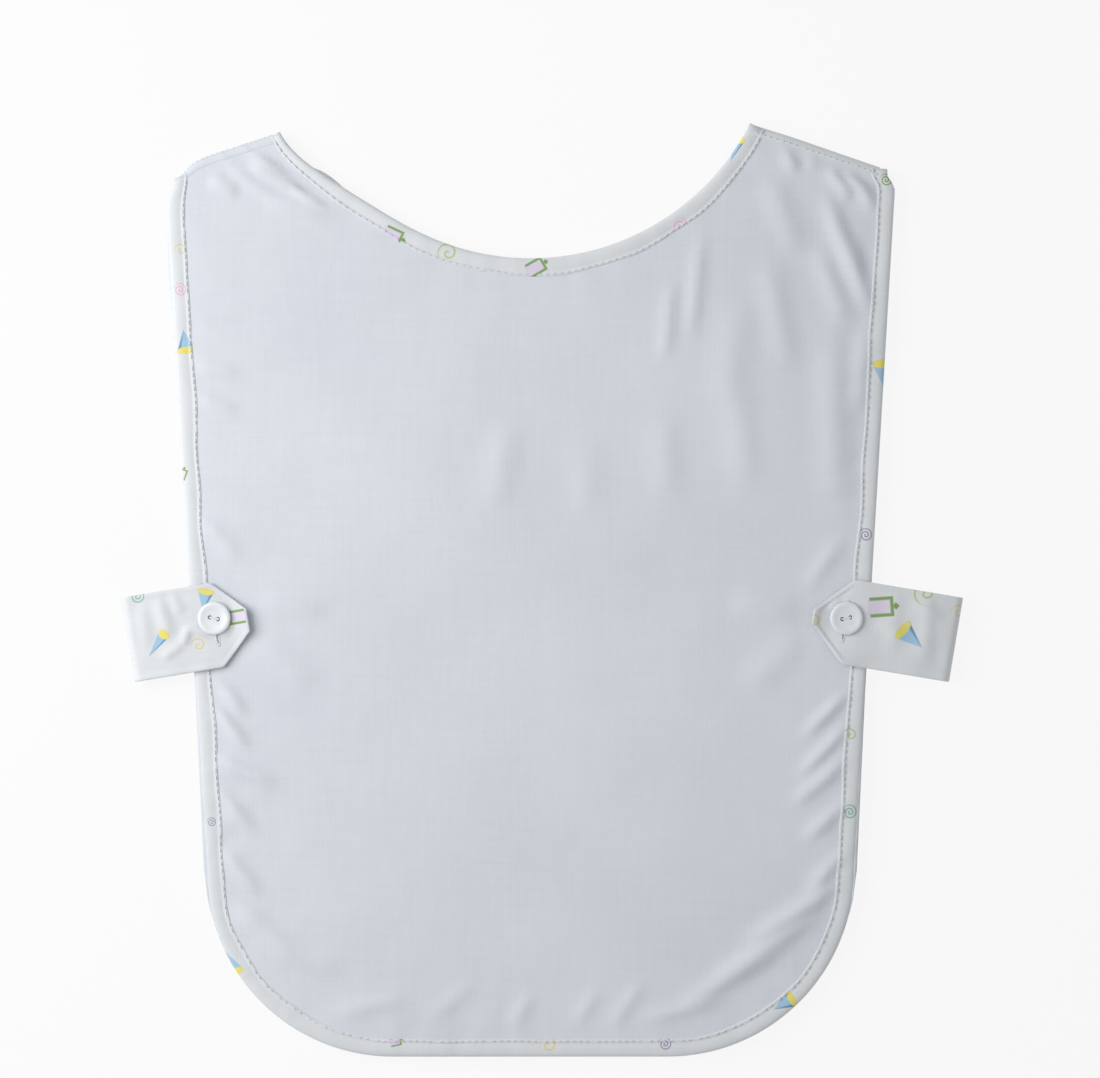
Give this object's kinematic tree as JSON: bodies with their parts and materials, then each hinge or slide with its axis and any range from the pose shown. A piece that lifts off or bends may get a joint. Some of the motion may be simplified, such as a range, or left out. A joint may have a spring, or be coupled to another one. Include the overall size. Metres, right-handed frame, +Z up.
{
  "type": "pull-over apron",
  "caption": "Child's pull-over cloth apron with bound neck, sides and hem, and side tabs that fold over and button onto the back panel; laid flat, back uppermost.",
  "frame": {"origin": "middle of the laid-out apron, on the surface it lies on", "axes": "+Z up from the surface, through the front panel and then the back panel; +Y from the hem towards the shoulders; +X to the right as seen from above"},
  "size_m": [0.3838, 0.425, 0.012],
  "materials": {
    "plain_cotton": "matte plain weave, pale blue-white",
    "printed_cotton": "matte plain weave, white with small scattered coloured shapes",
    "lining_cotton": "matte plain weave, off-white",
    "interlining": "soft felted sheet",
    "sewing_thread": "twisted white thread",
    "button_resin": "white cast resin with a soft gloss"
  },
  "bodies": {
    "front": {"front_shell": "printed_cotton", "front_core": "interlining", "front_lining": "lining_cotton", "front_edge_binding": "printed_cotton", "front_neck_binding": "printed_cotton", "front_edge_topstitch": "sewing_thread", "front_neck_topstitch": "sewing_thread", "left_shoulder_fold": "printed_cotton", "right_shoulder_fold": "printed_cotton", "left_tab_root": "printed_cotton", "left_tab_fold": "printed_cotton", "right_tab_root": "printed_cotton", "right_tab_fold": "printed_cotton"},
    "back": {"back_shell": "plain_cotton", "back_core": "interlining", "back_lining": "lining_cotton", "back_edge_binding": "printed_cotton", "back_neck_binding": "printed_cotton", "back_edge_topstitch": "sewing_thread", "back_neck_topstitch": "sewing_thread", "left_shoulder_topstitch": "sewing_thread", "right_shoulder_topstitch": "sewing_thread", "left_button_shank": "sewing_thread", "right_button_shank": "sewing_thread"},
    "left_tab": {"left_tab_shell": "printed_cotton", "left_tab_interfacing": "interlining", "left_tab_lining": "printed_cotton", "left_buttonhole_stitch": "sewing_thread"},
    "right_tab": {"right_tab_shell": "printed_cotton", "right_tab_interfacing": "interlining", "right_tab_lining": "printed_cotton", "right_buttonhole_stitch": "sewing_thread"},
    "left_button": {"left_button": "button_resin", "left_button_thread": "sewing_thread"},
    "right_button": {"right_button": "button_resin", "right_button_thread": "sewing_thread"}
  },
  "joints": [
    {"name": "shoulder_fold", "type": "hinge", "parent": "front", "child": "back", "pos_m": [-0.00525, 0.2125, 0.0038], "axis": [-1, 0, 0], "range_deg": [0, 170], "deforming": ["left_shoulder_fold", "right_shoulder_fold"]},
    {"name": "left_tab_open", "type": "hinge", "parent": "front", "child": "left_tab", "pos_m": [-0.18475, -0.0221, 0.0052], "axis": [0.165, -0.9863, 0], "range_deg": [0, 175], "deforming": ["left_tab_fold"]},
    {"name": "right_tab_open", "type": "hinge", "parent": "front", "child": "right_tab", "pos_m": [0.18475, -0.0221, 0.0052], "axis": [0.165, 0.9863, 0], "range_deg": [0, 175], "deforming": ["right_tab_fold"]},
    {"name": "left_button_turn", "type": "hinge", "parent": "back", "child": "left_button", "pos_m": [-0.14875, -0.0128, 0.0108], "axis": [0, 0, 1], "range_deg": [-30, 30]},
    {"name": "right_button_turn", "type": "hinge", "parent": "back", "child": "right_button", "pos_m": [0.13825, -0.0128, 0.0108], "axis": [0, 0, 1], "range_deg": [-30, 30]}
  ]
}
